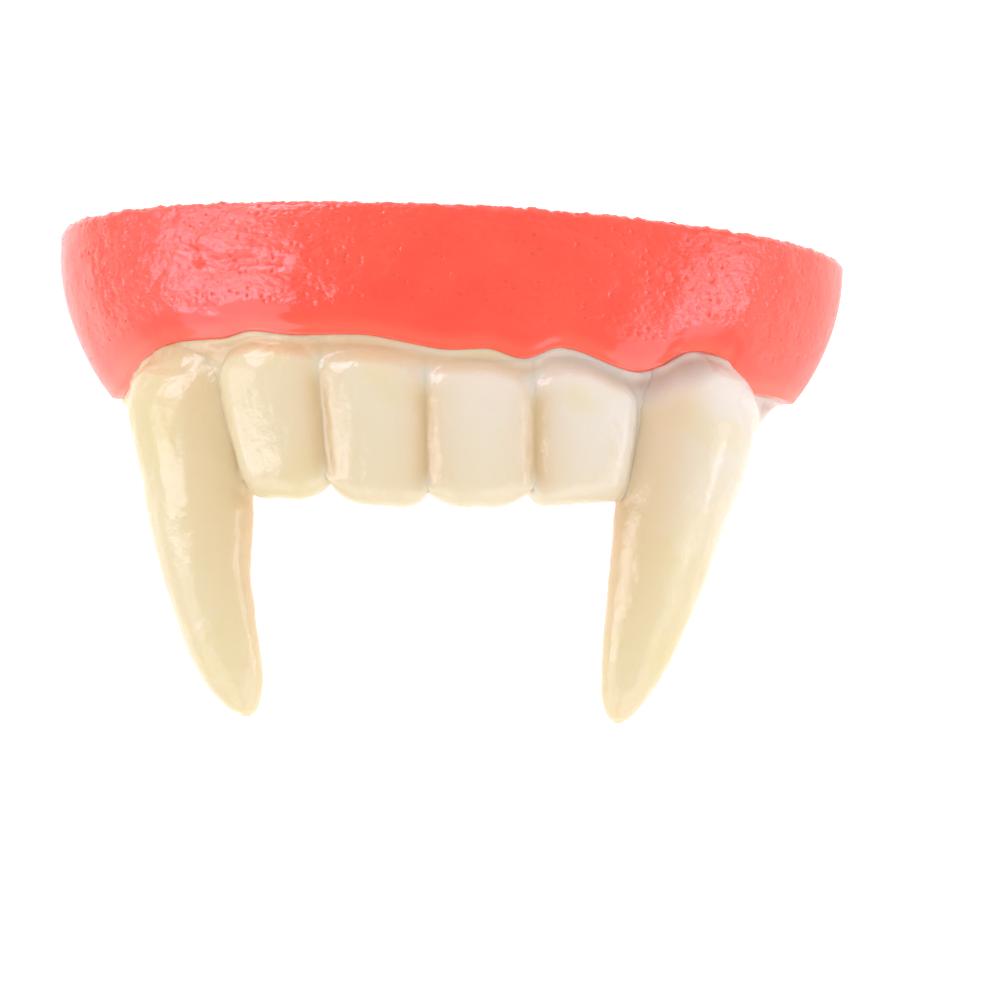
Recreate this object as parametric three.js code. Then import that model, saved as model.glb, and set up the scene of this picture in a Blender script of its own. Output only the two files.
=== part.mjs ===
// Vampire false teeth: a red gum trough that is worn over the upper teeth, with a cream tooth bar
// under its margin that carries four incisors and two long fangs.
// Millimetres. It lies on the flat ends of its two arms, with the front up: +X is to the right seen
// from the front, +Y runs from the biting edges to the gum's rim, and +Z points out of the mouth.
import * as THREE from "three";

// The rim's arch is an ellipse whose centre lies a little behind the plane of the heels
const arch = { halfWidth: 26.75, depth: 22, centreBehind: 2.5 };
const stations = 84;

// The clearance that every two neighbouring pieces keep
const gap = 0.3;

// The inset from the rim's arch at which distances across the front are taken, near the margin
const acrossInset = 2;

// The sides flare out from the margin to the rim, and the change from front to side is gradual
const flare = { start: 1, rate: 0.037 };
const sideBegins = 0.2;
const sideFull = 0.85;

// The lip hangs in front of the tooth bar's top edge
const lip = { thickness: 0.55, overlap: 0.8 };

// How deep the tooth bar is from front to back, and how far its low edge leans in at the sides
const bar = { thickness: 2.3, sideLean: 0.5, edgeRound: 0.4 };

// Gum margin: how far below the rim the lip ends, at each distance across the front
const gumMargin = [
  { across: -24.6, below: 11.3 },
  { across: -21.9, below: 10.3 },
  { across: -19.8, below: 9.6 },
  { across: -18.2, below: 9.2 },
  { across: -15.7, below: 8.9 },
  { across: -13.4, below: 8.9 },
  { across: -11.3, below: 8.5 },
  { across: -8.3, below: 8.8 },
  { across: -4.5, below: 8.7 },
  { across: 1.2, below: 9.5 },
  { across: 3.4, below: 9.3 },
  { across: 5.6, below: 9.8 },
  { across: 7.9, below: 8.9 },
  { across: 12.6, below: 10.0 },
  { across: 14.0, below: 9.6 },
  { across: 15.5, below: 8.5 },
  { across: 17.0, below: 8.1 },
  { across: 18.7, below: 8.4 },
  { across: 19.7, below: 9.5 },
  { across: 21.0, below: 10.0 },
  { across: 24.6, below: 9.7 },
];

// Tooth bar: how far below the rim its low edge is
const barEdge = [
  { across: -24.6, below: 11.9 },
  { across: -13.4, below: 12.3 },
  { across: -12.2, below: 14.0 },
  { across: -11.0, below: 17.0 },
  { across: -9.6, below: 18.3 },
  { across: -1.0, below: 18.3 },
  { across: 10.2, below: 18.0 },
  { across: 11.6, below: 16.6 },
  { across: 12.8, below: 14.0 },
  { across: 14.0, below: 12.2 },
  { across: 24.6, below: 11.5 },
];

// Outer face of the gum, from rim to margin: its inset from the rim's arch in front, and what the lip's
// roll adds at the sides
const gumFace = [
  { fall: 0, front: 0.5, sideRoll: 0.3 },
  { fall: 0.05, front: 0.12, sideRoll: 0 },
  { fall: 0.18, front: -0.1, sideRoll: 0 },
  { fall: 0.36, front: -0.3, sideRoll: 0 },
  { fall: 0.54, front: -0.4, sideRoll: 0 },
  { fall: 0.7, front: -0.35, sideRoll: 0 },
  { fall: 0.82, front: -0.2, sideRoll: 0 },
  { fall: 0.9, front: 0.05, sideRoll: 0.05 },
  { fall: 0.96, front: 0.4, sideRoll: 0.2 },
  { fall: 1, front: 0.95, sideRoll: 0.55 },
];

// The trough behind that face, in order round the section: inset from the rim's arch in front and at
// the sides, and how far below the rim
const gumTrough = [
  { place: "underside, back", front: 10.4, side: 10.4, below: 8.4 },
  { place: "inner wall, foot", front: 13.4, side: 13.4, below: 8.1 },
  { place: "inner wall, outside low", front: 14.2, side: 14.2, below: 7.0 },
  { place: "inner wall, outside high", front: 14.0, side: 14.0, below: 2.2 },
  { place: "inner wall, crest back", front: 13.3, side: 13.3, below: 1.3 },
  { place: "inner wall, crest front", front: 12.1, side: 12.1, below: 1.3 },
  { place: "inner wall, inside high", front: 11.4, side: 11.4, below: 2.2 },
  { place: "inner wall, inside low", front: 11.0, side: 11.0, below: 5.2 },
  { place: "floor, back", front: 10.2, side: 10.2, below: 6.0 },
  { place: "floor, front", front: 4.3, side: 5.2, below: 6.0 },
  { place: "front wall, inside low", front: 3.5, side: 4.4, below: 5.2 },
  { place: "front wall, inside middle", front: 3.0, side: 3.3, below: 2.8 },
  { place: "rim, inside", front: 2.7, side: 2.7, below: 0.5 },
  { place: "rim, top", front: 2.2, side: 2.2, below: 0 },
];

// Incisors seen from the front: their left and right sides and how far below the rim they start and
// end on each side
const incisors = [
  {
    name: "incisor_1",
    neck: { left: -14.1, right: -7.4, belowLeft: 9.2, belowRight: 9.0 },
    edge: { left: -11.6, right: -6.5, belowLeft: 19.2, belowRight: 19.4 },
  },
  {
    name: "incisor_2",
    neck: { left: -6.5, right: -0.8, belowLeft: 9.6, belowRight: 9.9 },
    edge: { left: -5.8, right: -0.1, belowLeft: 19.6, belowRight: 19.8 },
  },
  {
    name: "incisor_3",
    neck: { left: 0.2, right: 5.9, belowLeft: 9.8, belowRight: 9.9 },
    edge: { left: 0.7, right: 6.3, belowLeft: 19.8, belowRight: 19.3 },
  },
  {
    name: "incisor_4",
    neck: { left: 6.9, right: 13.4, belowLeft: 9.2, belowRight: 10.3 },
    edge: { left: 7.1, right: 12.5, belowLeft: 19.2, belowRight: 18.5 },
  },
];

// Shape shared by the incisors, from neck to biting edge: share of the full width, and how far the
// front stands out from the seat
const incisorRows = [
  { along: 0, width: 0.5, relief: 0.5 },
  { along: 0.03, width: 0.74, relief: 1.0 },
  { along: 0.08, width: 0.88, relief: 1.55 },
  { along: 0.17, width: 0.97, relief: 2.05 },
  { along: 0.32, width: 1, relief: 2.35 },
  { along: 0.52, width: 1, relief: 2.4 },
  { along: 0.72, width: 0.99, relief: 2.25 },
  { along: 0.87, width: 0.95, relief: 2.0 },
  { along: 0.95, width: 0.88, relief: 1.8 },
  { along: 0.985, width: 0.79, relief: 1.6 },
  { along: 1, width: 0.66, relief: 1.3 },
];
const incisorSection = { points: 15, squareness: 0.5, footFlare: 0.25 };

// Fangs seen from the front, from neck to tip: their two sides, the height of the spine above the
// heels, and the section's depth before and behind the spine as a share of its half width
const fangs = [
  {
    name: "fang_left",
    turn: -0.65,
    rows: [
      { below: 10.5, left: -18.1, right: -15.2, up: 12.3, front: 0.35, back: 0.1 },
      { below: 10.8, left: -18.9, right: -14.6, up: 12.3, front: 0.5, back: 0.1 },
      { below: 11.6, left: -19.6, right: -14, up: 12.4, front: 0.68, back: 0.1 },
      { below: 13.2, left: -20, right: -13.4, up: 12.6, front: 0.78, back: 0.15 },
      { below: 15.4, left: -19.75, right: -12.75, up: 12.8, front: 0.8, back: 0.5 },
      { below: 18, left: -19, right: -12, up: 13, front: 0.8, back: 0.7 },
      { below: 20.4, left: -18.45, right: -11.45, up: 13, front: 0.8, back: 0.76 },
      { below: 23.7, left: -17.45, right: -11.35, up: 13, front: 0.81, back: 0.8 },
      { below: 27, left: -16.25, right: -10.9, up: 12.8, front: 0.82, back: 0.82 },
      { below: 29.6, left: -15.2, right: -10.45, up: 12.6, front: 0.84, back: 0.84 },
      { below: 31.3, left: -14.1, right: -10.25, up: 12.4, front: 0.87, back: 0.87 },
      { below: 32.5, left: -13, right: -10.4, up: 12.2, front: 0.9, back: 0.9 },
      { below: 33.1, left: -12.2, right: -10.65, up: 12.1, front: 0.95, back: 0.95 },
      { below: 33.4, left: -11.6, right: -11, up: 12, front: 1, back: 1 },
    ],
  },
  {
    name: "fang_right",
    turn: 0.65,
    rows: [
      { below: 8.5, left: 15.8, right: 18.4, up: 12, front: 0.35, back: 0.1 },
      { below: 8.9, left: 15.2, right: 19.2, up: 12, front: 0.5, back: 0.1 },
      { below: 9.9, left: 14.5, right: 20, up: 12.1, front: 0.68, back: 0.1 },
      { below: 12.2, left: 14, right: 20.9, up: 12.3, front: 0.78, back: 0.15 },
      { below: 14.4, left: 13.6, right: 20.8, up: 12.6, front: 0.8, back: 0.5 },
      { below: 17.1, left: 12.9, right: 20.2, up: 12.8, front: 0.8, back: 0.7 },
      { below: 19.7, left: 12.35, right: 19.45, up: 12.9, front: 0.8, back: 0.76 },
      { below: 23, left: 12.1, right: 18.45, up: 12.9, front: 0.81, back: 0.8 },
      { below: 26.3, left: 11.95, right: 17.35, up: 12.8, front: 0.82, back: 0.82 },
      { below: 28.9, left: 11.9, right: 16.15, up: 12.6, front: 0.84, back: 0.84 },
      { below: 30.8, left: 11.95, right: 15.15, up: 12.4, front: 0.87, back: 0.87 },
      { below: 32, left: 12.2, right: 14.25, up: 12.2, front: 0.9, back: 0.9 },
      { below: 32.5, left: 12.5, right: 13.75, up: 12.1, front: 0.95, back: 0.95 },
      { below: 32.75, left: 12.8, right: 13.4, up: 12, front: 1, back: 1 },
    ],
  },
];
const fangSection = { points: 22 };

const gumMaterial = new THREE.MeshStandardMaterial({ color: 0xf8503f, roughness: 0.3, metalness: 0 });
const toothMaterial = new THREE.MeshStandardMaterial({ color: 0xefe5c6, roughness: 0.35, metalness: 0 });

// A smooth value from a table, which never overshoots its rows
function readTable(rows, along, column, at) {
  const last = rows.length - 1;
  if (at <= rows[0][along]) return rows[0][column];
  if (at >= rows[last][along]) return rows[last][column];
  let low = 0;
  while (rows[low + 1][along] < at) low += 1;
  const width = (row) => rows[row + 1][along] - rows[row][along];
  const slope = (row) => (rows[row + 1][column] - rows[row][column]) / width(row);
  const tangent = (row) => {
    if (row === 0 || row === last) return 0;
    const before = slope(row - 1);
    const after = slope(row);
    return before * after > 0 ? (2 * before * after) / (before + after) : 0;
  };
  const step = width(low);
  const t = (at - rows[low][along]) / step;
  const rise = rows[low + 1][column] - rows[low][column];
  const blend = t * t * (3 - 2 * t);
  const leave = t * (1 - t) * (1 - t) * step * tangent(low);
  const arrive = t * t * (t - 1) * step * tangent(low + 1);
  return rows[low][column] + rise * blend + leave + arrive;
}

// A point of the arch at a share of the way from its middle (0) to a heel (1 or -1)
function archPoint(share, inset, below) {
  const depth = arch.depth - inset;
  const turn = share * Math.acos(arch.centreBehind / depth);
  const x = (arch.halfWidth - inset) * Math.sin(turn);
  return new THREE.Vector3(x, -below, depth * Math.cos(turn) - arch.centreBehind);
}

// The distance across the front at a share of the arch, and the share at a distance
function acrossAt(share) {
  return archPoint(share, acrossInset, 0).x;
}

function shareAt(across) {
  const reach = Math.acos(arch.centreBehind / (arch.depth - acrossInset));
  return Math.asin(across / (arch.halfWidth - acrossInset)) / reach;
}

// The direction along the arch at a share, from left to right
function archTangent(share, inset) {
  const step = 1 / stations;
  const ahead = archPoint(share + step, inset, 0);
  return ahead.sub(archPoint(share - step, inset, 0)).normalize();
}

// How far the arch has turned from its front (0) to its sides (1)
function sideness(share) {
  return THREE.MathUtils.smoothstep(Math.abs(share), sideBegins, sideFull);
}

// How far below the rim the lip ends
function marginBelow(share) {
  return readTable(gumMargin, "across", "below", acrossAt(share));
}

// The inset of the gum's outer face at a share of the fall from rim to margin
function faceInset(share, fall) {
  const drop = Math.max(0, fall * marginBelow(share) - flare.start);
  const side = flare.rate * drop * drop + readTable(gumFace, "fall", "sideRoll", fall);
  return THREE.MathUtils.lerp(readTable(gumFace, "fall", "front", fall), side, sideness(share));
}

// The gum's underside slopes from the back of the lip to the foot of the inner wall
function undersideBelow(share, inset) {
  const start = faceInset(share, 1) + lip.thickness;
  const back = gumTrough[0];
  const t = (inset - start) / (back.front - start);
  return THREE.MathUtils.lerp(marginBelow(share) - lip.overlap, back.below, t);
}

// The gum's section: its outer face, the lip, the underside and the trough
function gumRing(share) {
  const below = marginBelow(share);
  const ring = gumFace.map((row) => archPoint(share, faceInset(share, row.fall), row.fall * below));
  const lipBack = faceInset(share, 1) + lip.thickness;
  ring.push(archPoint(share, lipBack, below));
  ring.push(archPoint(share, lipBack, undersideBelow(share, lipBack)));
  for (const row of gumTrough) {
    const inset = THREE.MathUtils.lerp(row.front, row.side, sideness(share));
    ring.push(archPoint(share, inset, row.below));
  }
  return ring;
}

// Where the front of the tooth bar lies
function barInset(share) {
  return faceInset(share, 1) + lip.thickness + gap;
}

// The tooth bar's section
function barRing(share) {
  const front = barInset(share);
  const back = front + bar.thickness;
  const lean = bar.sideLean * sideness(share);
  const low = readTable(barEdge, "across", "below", acrossAt(share));
  const topFront = undersideBelow(share, front) + gap;
  const topBack = undersideBelow(share, back) + gap;
  return [
    archPoint(share, front, topFront),
    archPoint(share, front + lean / 2, (topFront + low) / 2),
    archPoint(share, front + lean, low - bar.edgeRound),
    archPoint(share, front + lean + bar.edgeRound, low),
    archPoint(share, back + lean - bar.edgeRound, low),
    archPoint(share, back + lean, low - bar.edgeRound),
    archPoint(share, back, topBack),
  ];
}

// An incisor's ring at a row: a flat back on the seat and a rounded front, square to the arch
function incisorRing(tooth, row) {
  const mix = (from, to) => THREE.MathUtils.lerp(from, to, row.along);
  const left = mix(tooth.neck.left, tooth.edge.left);
  const right = mix(tooth.neck.right, tooth.edge.right);
  const belowLeft = mix(tooth.neck.belowLeft, tooth.edge.belowLeft);
  const belowRight = mix(tooth.neck.belowRight, tooth.edge.belowRight);
  const middle = (tooth.neck.left + tooth.neck.right + tooth.edge.left + tooth.edge.right) / 4;
  const share = shareAt(middle);
  const seatInset = barInset(share) - gap;
  const seat = archPoint(share, seatInset, 0);
  const tangent = archTangent(share, seatInset);
  const outward = new THREE.Vector3(-tangent.z, 0, tangent.x);
  const halfWidth = ((right - left) / 2) * row.width;
  const centre = (left + right) / 2;
  const ring = [];
  for (let i = 0; i < incisorSection.points; i += 1) {
    const angle = Math.PI * (1 - i / (incisorSection.points - 1));
    const side = Math.sign(Math.cos(angle)) * Math.abs(Math.cos(angle)) ** incisorSection.squareness;
    const relief = row.relief * Math.sin(angle) ** incisorSection.squareness;
    const foot = Math.sign(side) * incisorSection.footFlare * (1 - Math.sin(angle)) ** 2;
    const across = (centre - middle + side * halfWidth) / tangent.x + foot;
    const below = THREE.MathUtils.lerp(belowLeft, belowRight, (side * row.width + 1) / 2);
    const point = seat.clone().addScaledVector(tangent, across).addScaledVector(outward, relief);
    ring.push(point.setY(-below));
  }
  return ring;
}

// A fang's ring at a row: two half ellipses turned with the arch, as wide as the row from the front
function fangRing(fang, row) {
  const seen = (depth) => Math.hypot(Math.cos(fang.turn), depth * Math.sin(fang.turn));
  const leftDepth = fang.turn < 0 ? row.front : row.back;
  const rightDepth = fang.turn < 0 ? row.back : row.front;
  const halfWidth = (row.right - row.left) / (seen(leftDepth) + seen(rightDepth));
  const spine = row.left + halfWidth * seen(leftDepth);
  const ring = [];
  for (let i = 0; i < fangSection.points; i += 1) {
    const angle = (2 * Math.PI * i) / fangSection.points;
    const depth = Math.sin(angle) > 0 ? row.front : row.back;
    const side = -halfWidth * Math.cos(angle);
    const out = halfWidth * depth * Math.sin(angle);
    const x = spine + side * Math.cos(fang.turn) + out * Math.sin(fang.turn);
    const z = row.up - side * Math.sin(fang.turn) + out * Math.cos(fang.turn);
    ring.push(new THREE.Vector3(x, -row.below, z));
  }
  return ring;
}

// The triangles of a flat or nearly flat ring
function capTriangles(ring) {
  const normal = new THREE.Vector3();
  ring.forEach((point, i) => normal.add(point.clone().cross(ring[(i + 1) % ring.length])));
  const up = new THREE.Vector3(0, 0, 1);
  const turnToFlat = new THREE.Quaternion().setFromUnitVectors(normal.normalize(), up);
  const flat = ring.map((point) => point.clone().applyQuaternion(turnToFlat));
  const contour = flat.map((point) => new THREE.Vector2(point.x, point.y));
  return THREE.ShapeUtils.triangulateShape(contour, []);
}

// One closed solid through rings with the same number of points
function loft(rings) {
  const count = rings[0].length;
  const index = [];
  for (let r = 0; r + 1 < rings.length; r += 1) {
    for (let i = 0; i < count; i += 1) {
      const next = (i + 1) % count;
      const here = r * count;
      const there = here + count;
      index.push(here + i, there + i, here + next);
      index.push(here + next, there + i, there + next);
    }
  }
  const last = (rings.length - 1) * count;
  for (const [a, b, c] of capTriangles(rings[0])) index.push(a, b, c);
  for (const [a, b, c] of capTriangles(rings[rings.length - 1])) index.push(last + c, last + b, last + a);
  const geometry = new THREE.BufferGeometry().setFromPoints(rings.flat());
  geometry.setIndex(index);
  geometry.computeVertexNormals();
  return geometry;
}

// A solid swept from the right heel to the left one
function alongArch(ringAt) {
  const rings = [];
  for (let i = 0; i <= stations; i += 1) rings.push(ringAt(1 - (2 * i) / stations));
  return loft(rings);
}

// A named mesh
function piece(name, geometry, material) {
  const mesh = new THREE.Mesh(geometry, material);
  mesh.name = name;
  return mesh;
}

const denture = new THREE.Group();
denture.add(piece("gum", alongArch(gumRing), gumMaterial));
denture.add(piece("tooth_bar", alongArch(barRing), toothMaterial));
for (const tooth of incisors) {
  const rings = incisorRows.map((row) => incisorRing(tooth, row));
  denture.add(piece(tooth.name, loft(rings), toothMaterial));
}
for (const fang of fangs) {
  const rings = fang.rows.map((row) => fangRing(fang, row));
  denture.add(piece(fang.name, loft(rings), toothMaterial));
}

// The origin is at the middle of the box's bottom
const box = new THREE.Box3().setFromObject(denture);
const middle = box.getCenter(new THREE.Vector3());
denture.position.set(-middle.x, -middle.y, -box.min.z);

const group = new THREE.Group();
group.add(denture);

export default group;
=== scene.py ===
# Vampire false teeth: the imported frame, dressed for renders and export
import math
import bpy
import numpy as np
from mathutils import Matrix, Vector
from mathutils.bvhtree import BVHTree


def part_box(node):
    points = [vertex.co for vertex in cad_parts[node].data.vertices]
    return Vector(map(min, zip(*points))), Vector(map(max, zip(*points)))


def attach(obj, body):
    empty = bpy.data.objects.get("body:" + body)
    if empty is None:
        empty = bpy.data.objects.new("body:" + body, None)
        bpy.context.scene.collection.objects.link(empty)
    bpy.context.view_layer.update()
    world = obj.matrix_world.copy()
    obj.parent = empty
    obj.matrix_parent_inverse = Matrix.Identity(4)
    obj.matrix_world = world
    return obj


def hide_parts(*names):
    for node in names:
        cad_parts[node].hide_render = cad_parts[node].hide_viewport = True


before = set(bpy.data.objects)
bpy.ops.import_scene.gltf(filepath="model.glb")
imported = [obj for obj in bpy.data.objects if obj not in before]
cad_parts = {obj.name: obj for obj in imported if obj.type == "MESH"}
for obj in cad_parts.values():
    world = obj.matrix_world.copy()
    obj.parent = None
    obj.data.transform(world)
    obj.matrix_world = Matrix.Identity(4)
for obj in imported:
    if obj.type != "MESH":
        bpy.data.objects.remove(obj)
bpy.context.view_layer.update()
mm = 0.001  # the tables below are in millimetres, the scene is in metres
gumLow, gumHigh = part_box("gum")
rimPlace = np.array([(gumLow.x + gumHigh.x) / 2, gumHigh.y, gumLow.z])  # middle, rim plane, heel plane
print("frame loaded:", sorted(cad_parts))


# Small helpers: colours, nodes, tables and meshes

def linearColour(hexText):
    values = [int(hexText[i:i + 2], 16) / 255 for i in (1, 3, 5)]
    return tuple(v / 12.92 if v <= 0.04045 else ((v + 0.055) / 1.055) ** 2.4 for v in values) + (1.0,)


def addNode(tree, kind, settings=None, inputs=None):
    node = tree.nodes.new(kind)
    for name, value in (settings or {}).items():
        setattr(node, name, value)
    for key, value in (inputs or {}).items():
        if isinstance(value, bpy.types.NodeSocket):
            tree.links.new(value, node.inputs[key])
        else:
            node.inputs[key].default_value = value
    return node


def emptyMaterial(name):  # a new material and its tree, with no nodes in it yet
    material = bpy.data.materials.new(name)
    material.use_nodes = True
    material.node_tree.nodes.clear()
    return material, material.node_tree


def emptyTree(name, sockets):  # a new Geometry Nodes tree with named inputs, and what it is given
    tree = bpy.data.node_groups.new(name, "GeometryNodeTree")
    tree.interface.new_socket("Geometry", in_out="INPUT", socket_type="NodeSocketGeometry")
    for kind, names in sockets.items():
        for socket in names:
            tree.interface.new_socket(socket, in_out="INPUT", socket_type="NodeSocket" + kind)
    tree.interface.new_socket("Geometry", in_out="OUTPUT", socket_type="NodeSocketGeometry")
    return tree, addNode(tree, "NodeGroupInput").outputs


def readTable(rows, column, at):  # smooth value from a table, never past its rows
    xs = np.array([row[0] for row in rows], float)
    ys = np.array([row[column] for row in rows], float)
    steps = np.diff(xs)
    slopes = np.diff(ys) / steps
    before, after = slopes[:-1], slopes[1:]
    turns = before * after <= 0
    total = np.where(turns, 1.0, before + after)
    tangents = np.zeros(len(xs))
    tangents[1:-1] = np.where(turns, 0.0, 2 * before * after / total)
    at = np.clip(at, xs[0], xs[-1])
    low = np.clip(np.searchsorted(xs, at, side="right") - 1, 0, len(xs) - 2)
    t = (at - xs[low]) / steps[low]
    value = ys[low] + (ys[low + 1] - ys[low]) * t * t * (3 - 2 * t)
    value += t * (1 - t) ** 2 * steps[low] * tangents[low]
    return value + t * t * (t - 1) * steps[low] * tangents[low + 1]


def smoothStep(low, high, at):
    t = np.clip((np.asarray(at, float) - low) / (high - low), 0, 1)
    return t * t * (3 - 2 * t)


def meshPiece(name, grid, attributes, material, closing):
    # rings of points joined to one closed skin; its ends get a flat face or a pole
    rings, count = grid.shape[:2]
    points = grid.reshape(-1, 3)
    row, col = np.meshgrid(np.arange(rings - 1), np.arange(count), indexing="ij")
    here = row * count + col
    side = row * count + (col + 1) % count
    faces = np.stack([here, side, side + count, here + count], -1).reshape(-1, 4).tolist()
    first, last = list(range(count)), list(range((rings - 1) * count, rings * count))
    values = {key: value.reshape(-1) for key, value in attributes.items()}
    if closing == "pole":
        poles = np.stack([grid[0].mean(0), grid[-1].mean(0)])
        start = len(points)
        points = np.concatenate([points, poles])
        values = {key: np.concatenate([v, [v[0], v[-1]]]) for key, v in values.items()}
        faces += [[start, first[(i + 1) % count], first[i]] for i in range(count)]
        faces += [[start + 1, last[i], last[(i + 1) % count]] for i in range(count)]
    else:
        faces += [first[::-1], last]
    solid = sum(np.dot(points[f[0]], np.cross(points[f[1]], points[f[2]])) for f in faces[::7])
    if solid < 0:
        faces = [face[::-1] for face in faces]
    mesh = bpy.data.meshes.new(name)
    mesh.from_pydata((points * mm + rimPlace).tolist(), [], faces)
    mesh.polygons.foreach_set("use_smooth", [len(face) <= 4 for face in faces])
    for key, value in values.items():
        layer = mesh.attributes.new(key, "FLOAT", "POINT")
        layer.data.foreach_set("value", np.asarray(value, np.float32))
    mesh.materials.append(material)
    mesh.validate()
    mesh.update()
    piece = bpy.data.objects.new(name, mesh)
    bpy.context.collection.objects.link(piece)
    return piece


def applyTree(piece, tree, inputs):  # runs a Geometry Nodes tree on a piece and keeps its plain mesh
    modifier = piece.modifiers.new(tree.name, "NODES")
    modifier.node_group = tree
    sockets = {item.name: item.identifier for item in tree.interface.items_tree if item.in_out == "INPUT"}
    for key, value in inputs.items():
        modifier[sockets[key]] = value
    graph = bpy.context.evaluated_depsgraph_get()
    made = bpy.data.meshes.new_from_object(piece.evaluated_get(graph), depsgraph=graph)
    piece.modifiers.remove(modifier)
    piece.data = made
    made.name = piece.name
    return piece


# The arch that everything follows: an ellipse whose centre lies a little behind the heels

arch = {
    "halfWidth": 26.75, "depth": 22.0, "centreBehind": 2.5,
    "acrossInset": 2.0,  # where distances across the front are taken
    "flareStart": 1.0, "flareRate": 0.037,  # the sides lean in from the rim to the margin
    "sideBegins": 0.2, "sideFull": 0.85,
}


def archPoint(share, inset, below):  # share runs from -1 at the left heel to 1 at the right one
    share, inset, below = np.broadcast_arrays(share, inset, below)
    depth = arch["depth"] - inset
    turn = share * np.arccos(arch["centreBehind"] / depth)
    x = (arch["halfWidth"] - inset) * np.sin(turn)
    return np.stack([x, -below, depth * np.cos(turn) - arch["centreBehind"]], -1)


def acrossAt(share):
    return archPoint(share, arch["acrossInset"], 0.0)[..., 0]


def shareAt(across):
    reach = math.acos(arch["centreBehind"] / (arch["depth"] - arch["acrossInset"]))
    return np.arcsin(np.asarray(across) / (arch["halfWidth"] - arch["acrossInset"])) / reach


def sideness(share):
    return smoothStep(arch["sideBegins"], arch["sideFull"], np.abs(share))


# Pigmented polyurethane resin, cast in a soft mould: a wet gloss, with pits and orange peel where the mould's
# skin was rough, and a lip that was brushed smooth; a lighter coral is painted along the lip as a painted sheen
def gumResin():
    material, tree = emptyMaterial("gum_cast_polyurethane_red")
    place = addNode(tree, "ShaderNodeTexCoord").outputs["Object"]
    skin = addNode(tree, "ShaderNodeAttribute", {"attribute_name": "skin"}).outputs["Fac"]
    lip = addNode(tree, "ShaderNodeAttribute", {"attribute_name": "lip"}).outputs["Fac"]
    cloud = addNode(tree, "ShaderNodeTexNoise", None,
                    {"Vector": place, "Scale": 1 / (4 * mm), "Detail": 4.0, "Roughness": 0.6})
    tone = addNode(tree, "ShaderNodeValToRGB", None, {"Fac": cloud.outputs["Fac"]})
    tone.color_ramp.elements[0].position, tone.color_ramp.elements[1].position = 0.3, 0.7
    tone.color_ramp.elements[0].color = linearColour("#F3452A")
    tone.color_ramp.elements[1].color = linearColour("#F94F34")
    # painted sheen: the lip is painted a lighter coral where its rolled edge catches the light
    lipSheen = addNode(tree, "ShaderNodeMix", {"data_type": "RGBA"}, {
        0: lip, 6: tone.outputs["Color"], 7: linearColour("#FB5E3E")})
    wet = addNode(tree, "ShaderNodeTexNoise", None,
                  {"Vector": place, "Scale": 1 / (1.6 * mm), "Detail": 2.0})
    rough = addNode(tree, "ShaderNodeMapRange", None,
                    {"Value": wet.outputs["Fac"], 1: 0.3, 2: 0.7, 3: 0.06, 4: 0.15})
    lying = addNode(tree, "ShaderNodeMapping", None, {"Vector": place, "Scale": (1.0, 1.7, 1.0)}).outputs[0]
    peel = addNode(tree, "ShaderNodeTexNoise", None,
                   {"Vector": lying, "Scale": 1 / (0.45 * mm), "Detail": 3.0, "Roughness": 0.6})
    peelHeight = addNode(tree, "ShaderNodeMath", {"operation": "MULTIPLY"}, {0: peel.outputs["Fac"], 1: skin})
    bump = addNode(tree, "ShaderNodeBump", None,
                   {"Height": peelHeight.outputs[0], "Strength": 0.8, "Distance": 0.07 * mm})
    shader = addNode(tree, "ShaderNodeBsdfPrincipled", None, {
        "Base Color": lipSheen.outputs[2], "Roughness": rough.outputs["Result"], "IOR": 1.57,
        "Subsurface Weight": 0.12, "Subsurface Radius": (1.0, 0.25, 0.12), "Subsurface Scale": 1.2 * mm,
        "Normal": bump.outputs["Normal"]})
    addNode(tree, "ShaderNodeOutputMaterial", None, {"Surface": shader.outputs["BSDF"]})
    return material
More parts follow.
